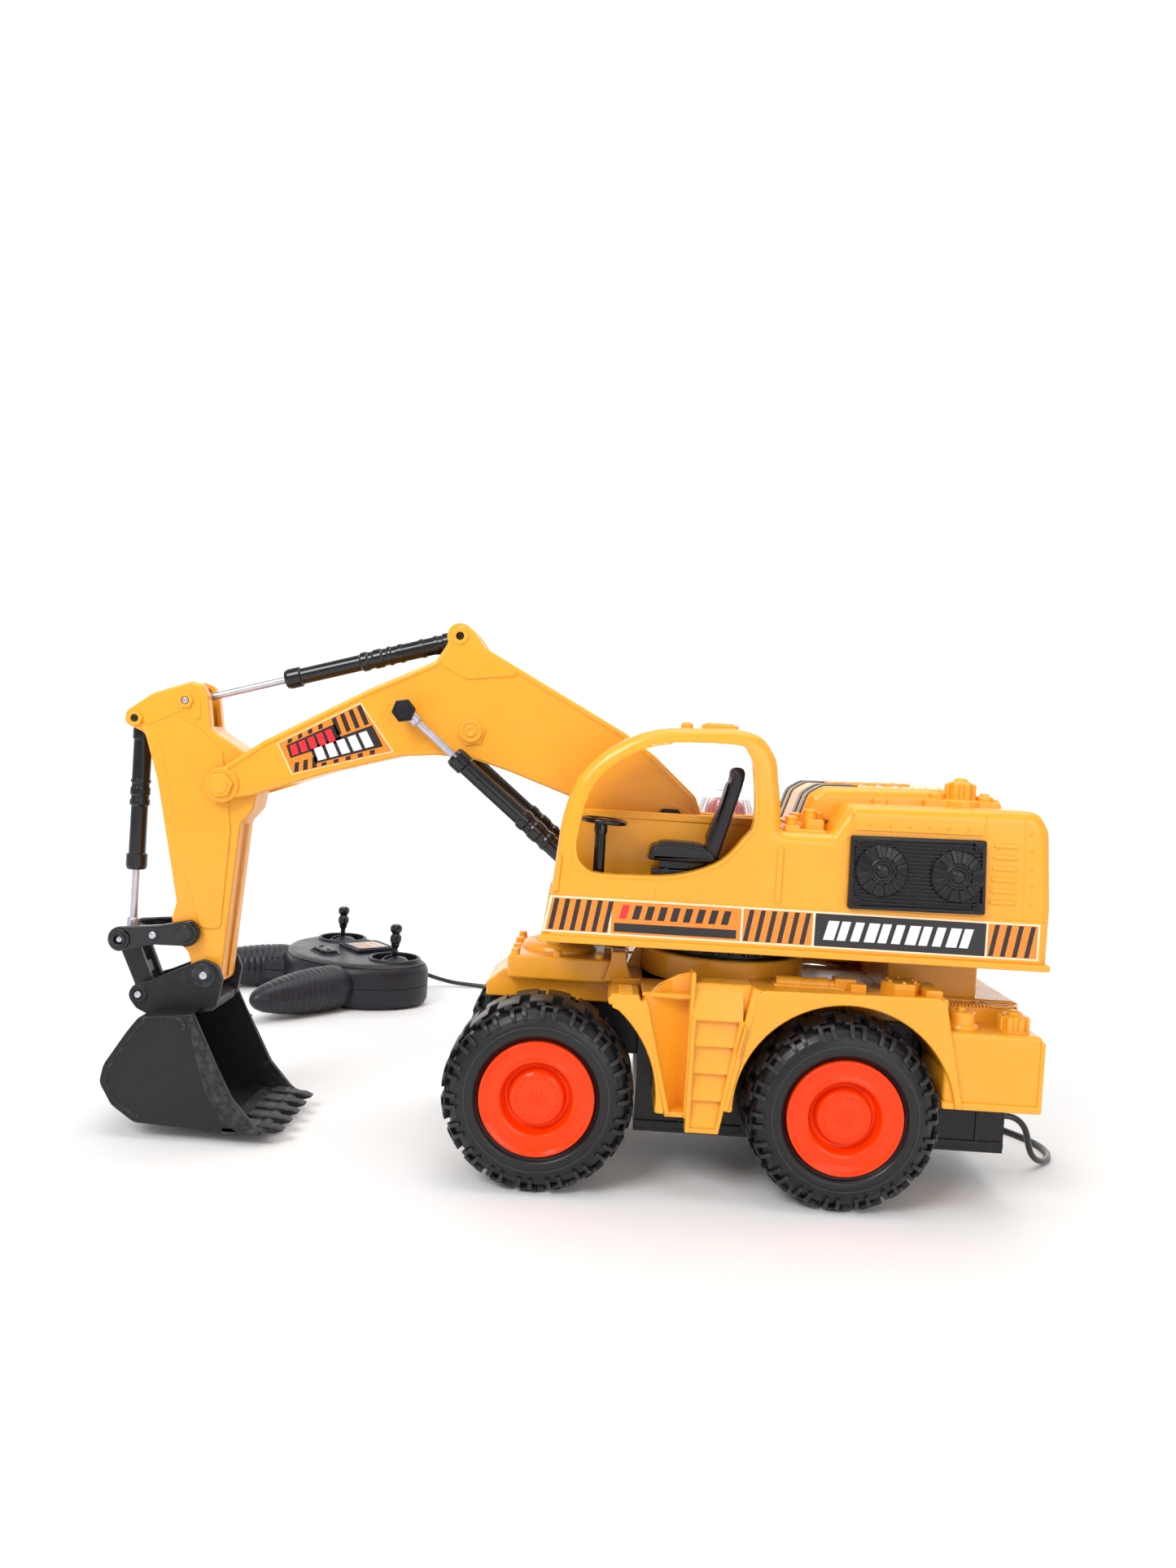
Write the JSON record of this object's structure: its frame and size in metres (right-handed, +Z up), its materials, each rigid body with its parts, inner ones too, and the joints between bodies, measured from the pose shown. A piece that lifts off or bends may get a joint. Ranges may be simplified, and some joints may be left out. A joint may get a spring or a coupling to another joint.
{
  "type": "toy excavator",
  "caption": "Wheeled toy excavator with a swinging cab, a hinged boom, stick and bucket, steering front wheels and a wired two-stick handset",
  "frame": {"origin": "On the floor under the middle of the bounding box of the excavator and its handset, without the cord.", "axes": "+Z is up, +X points from the bucket to the engine hood along the chassis, and +Y points from the driver's side to the far side, where the handset lies."},
  "size_m": [0.6002, 0.4726, 0.2811],
  "materials": {
    "yellow_plastic": "moulded yellow ABS, satin gloss",
    "black_plastic": "moulded black ABS, satin",
    "bucket_plastic": "textured matt black ABS",
    "orange_plastic": "glossy red-orange ABS",
    "tyre_rubber": "soft black PVC tyre",
    "silver": "bright steel and silver-coated rods",
    "red_plastic": "red lamp body",
    "clear_plastic": "clear styrene lens",
    "handset_plastic": "moulded black ABS handset, satin",
    "circuit_board": "green printed circuit board",
    "cord": "smooth black PVC cord sheath"
  },
  "bodies": {
    "chassis": {"chassis_deck": "yellow_plastic", "chassis_undertray": "black_plastic", "bottom_cover": "black_plastic", "drive_motor": "silver", "front_axle_beam": "black_plastic", "strain_relief": "cord", "cord_from_chassis": "cord", "cord_coil": "cord", "cord_to_handset": "cord"},
    "knuckle_near": {"steering_knuckle_near": "black_plastic"},
    "knuckle_far": {"steering_knuckle_far": "black_plastic"},
    "tie_rod": {"tie_rod": "black_plastic"},
    "front_wheel_near": {"front_tyre_near": "tyre_rubber", "front_rim_near": "orange_plastic"},
    "front_wheel_far": {"front_tyre_far": "tyre_rubber", "front_rim_far": "orange_plastic"},
    "rear_axle_set": {"rear_axle": "silver", "drive_gear": "black_plastic", "rear_tyre_near": "tyre_rubber", "rear_rim_near": "orange_plastic", "rear_tyre_far": "tyre_rubber", "rear_rim_far": "orange_plastic"},
    "motor_pinion": {"motor_pinion": "silver"},
    "house": {"house_shell": "yellow_plastic", "house_floor": "black_plastic", "slew_ring": "black_plastic", "grille_near": "black_plastic", "grille_far": "black_plastic", "cab_seat": "black_plastic", "cab_steering_wheel": "black_plastic", "dome_lens": "clear_plastic", "dome_lamp": "red_plastic", "swing_motor": "silver"},
    "boom": {"boom_shell_near": "yellow_plastic", "boom_shell_far": "yellow_plastic", "boom_cylinder_pin": "black_plastic", "stick_pin": "yellow_plastic"},
    "boom_cylinders": {"boom_cylinder_near": "black_plastic", "boom_cylinder_far": "black_plastic"},
    "boom_rods": {"boom_rod_near": "silver", "boom_rod_far": "silver"},
    "stick": {"stick_shell_near": "yellow_plastic", "stick_shell_far": "yellow_plastic"},
    "stick_cylinder": {"stick_cylinder": "black_plastic"},
    "stick_rod": {"stick_rod": "silver"},
    "bucket": {"bucket": "bucket_plastic"},
    "rocker": {"rocker_near": "black_plastic", "rocker_far": "black_plastic"},
    "bucket_cylinder": {"bucket_cylinder": "black_plastic"},
    "bucket_rod": {"bucket_rod": "silver"},
    "bucket_link": {"bucket_link": "black_plastic"},
    "handset": {"handset_top_shell": "handset_plastic", "handset_bottom_shell": "handset_plastic", "battery_door": "handset_plastic", "circuit_board": "circuit_board"},
    "gimbal_left": {"gimbal_left": "handset_plastic"},
    "gimbal_right": {"gimbal_right": "handset_plastic"},
    "control_stick_left": {"control_stick_left": "handset_plastic"},
    "control_stick_right": {"control_stick_right": "handset_plastic"},
    "rocker_button": {"rocker_button": "handset_plastic"}
  },
  "joints": [
    {"name": "steer_near", "type": "hinge", "parent": "chassis", "child": "knuckle_near", "pos_m": [0.02826, -0.18378, 0.0475], "axis": [0, 0, 1], "range_deg": [-10, 10]},
    {"name": "steer_far", "type": "hinge", "parent": "chassis", "child": "knuckle_far", "pos_m": [0.02826, -0.13378, 0.0475], "axis": [0, 0, 1], "range_deg": [-10.5, 10.5]},
    {"name": "tie_rod_slide", "type": "slide", "parent": "chassis", "child": "tie_rod", "axis": [0, 1, 0], "range_m": [-0.0025, 0.0025]},
    {"name": "front_wheel_near_spin", "type": "hinge", "parent": "knuckle_near", "child": "front_wheel_near", "pos_m": [0.02826, -0.21578, 0.0475], "axis": [0, 1, 0], "continuous": true},
    {"name": "front_wheel_far_spin", "type": "hinge", "parent": "knuckle_far", "child": "front_wheel_far", "pos_m": [0.02826, -0.10178, 0.0475], "axis": [0, 1, 0], "continuous": true},
    {"name": "rear_axle_spin", "type": "hinge", "parent": "chassis", "child": "rear_axle_set", "pos_m": [0.17776, -0.15878, 0.0475], "axis": [0, 1, 0], "continuous": true},
    {"name": "motor_pinion_spin", "type": "hinge", "parent": "chassis", "child": "motor_pinion", "pos_m": [0.15663, -0.15878, 0.0597], "axis": [0, 1, 0], "continuous": true},
    {"name": "swing", "type": "hinge", "parent": "chassis", "child": "house", "pos_m": [0.12176, -0.15878, 0.12], "axis": [0, 0, 1], "range_deg": [-170, 170]},
    {"name": "boom_lift", "type": "hinge", "parent": "house", "child": "boom", "pos_m": [0.08776, -0.15878, 0.18], "axis": [0, 1, 0], "range_deg": [-2, 24]},
    {"name": "boom_cylinder_tilt", "type": "hinge", "parent": "house", "child": "boom_cylinders", "pos_m": [0.05976, -0.15878, 0.139], "axis": [0, 1, 0], "range_deg": [-6, 24]},
    {"name": "boom_rod_tilt", "type": "hinge", "parent": "boom", "child": "boom_rods", "pos_m": [-0.05418, -0.15878, 0.23244], "axis": [0, 1, 0], "range_deg": [-4, 2]},
    {"name": "stick_reach", "type": "hinge", "parent": "boom", "child": "stick", "pos_m": [-0.15194, -0.15878, 0.18738], "axis": [0, 1, 0], "range_deg": [-5, 32]},
    {"name": "stick_cylinder_tilt", "type": "hinge", "parent": "boom", "child": "stick_cylinder", "pos_m": [-0.02868, -0.15878, 0.27378], "axis": [0, 1, 0], "range_deg": [-2, 2]},
    {"name": "stick_rod_tilt", "type": "hinge", "parent": "stick", "child": "stick_rod", "pos_m": [-0.17518, -0.15878, 0.23139], "axis": [0, 1, 0], "range_deg": [-34, 7]},
    {"name": "bucket_curl", "type": "hinge", "parent": "stick", "child": "bucket", "pos_m": [-0.15638, -0.15878, 0.08462], "axis": [0, 1, 0], "range_deg": [-34, 8]},
    {"name": "rocker_turn", "type": "hinge", "parent": "stick", "child": "rocker", "pos_m": [-0.16781, -0.15878, 0.10652], "axis": [0, 1, 0], "range_deg": [-37, 10]},
    {"name": "bucket_cylinder_tilt", "type": "hinge", "parent": "stick", "child": "bucket_cylinder", "pos_m": [-0.20206, -0.15878, 0.22034], "axis": [0, 1, 0], "range_deg": [-5, 3]},
    {"name": "bucket_rod_tilt", "type": "hinge", "parent": "rocker", "child": "bucket_rod", "pos_m": [-0.2033, -0.15878, 0.10111], "axis": [0, 1, 0], "range_deg": [-9, 33]},
    {"name": "bucket_link_tilt", "type": "hinge", "parent": "rocker", "child": "bucket_link", "pos_m": [-0.2033, -0.15878, 0.10111], "axis": [0, 1, 0], "range_deg": [-8, 29]},
    {"name": "handset_lift", "type": "slide", "parent": "chassis", "child": "handset", "axis": [0, 0, 1], "range_m": [0, 0.12]},
    {"name": "gimbal_left_tilt", "type": "hinge", "parent": "handset", "child": "gimbal_left", "pos_m": [-0.17026, 0.21003, 0.027], "axis": [0.7749, 0.632, 0], "range_deg": [-14, 14], "stiffness_Nm_per_rad": 0.02},
    {"name": "control_stick_left_tilt", "type": "hinge", "parent": "gimbal_left", "child": "control_stick_left", "pos_m": [-0.17026, 0.21003, 0.027], "axis": [0.632, -0.7749, 0], "range_deg": [-14, 14], "stiffness_Nm_per_rad": 0.02},
    {"name": "gimbal_right_tilt", "type": "hinge", "parent": "handset", "child": "gimbal_right", "pos_m": [-0.11022, 0.13641, 0.027], "axis": [0.7749, 0.632, 0], "range_deg": [-14, 14], "stiffness_Nm_per_rad": 0.02},
    {"name": "control_stick_right_tilt", "type": "hinge", "parent": "gimbal_right", "child": "control_stick_right", "pos_m": [-0.11022, 0.13641, 0.027], "axis": [0.632, -0.7749, 0], "range_deg": [-14, 14], "stiffness_Nm_per_rad": 0.02},
    {"name": "rocker_button_rock", "type": "hinge", "parent": "handset", "child": "rocker_button", "pos_m": [-0.17046, 0.14857, 0.03], "axis": [0.7749, 0.632, 0], "range_deg": [-5, 5], "stiffness_Nm_per_rad": 0.03}
  ],
  "couplings": [
    {"joint": "steer_far", "follows": "steer_near", "ratio": 1},
    {"joint": "tie_rod_slide", "follows": "steer_near", "m_per_rad": 0.013},
    {"joint": "motor_pinion_spin", "follows": "rear_axle_spin", "ratio": -3},
    {"joint": "boom_cylinder_tilt", "follows": "boom_lift", "ratio": 0.9258},
    {"joint": "boom_rod_tilt", "follows": "boom_lift", "ratio": -0.0742},
    {"joint": "stick_cylinder_tilt", "follows": "stick_reach", "ratio": -0.0102},
    {"joint": "stick_rod_tilt", "follows": "stick_reach", "ratio": -1.0102},
    {"joint": "rocker_turn", "follows": "bucket_curl", "ratio": 1.0293},
    {"joint": "bucket_link_tilt", "follows": "bucket_curl", "ratio": -0.8121},
    {"joint": "bucket_cylinder_tilt", "follows": "bucket_curl", "ratio": 0.1039},
    {"joint": "bucket_rod_tilt", "follows": "bucket_curl", "ratio": -0.9254}
  ]
}
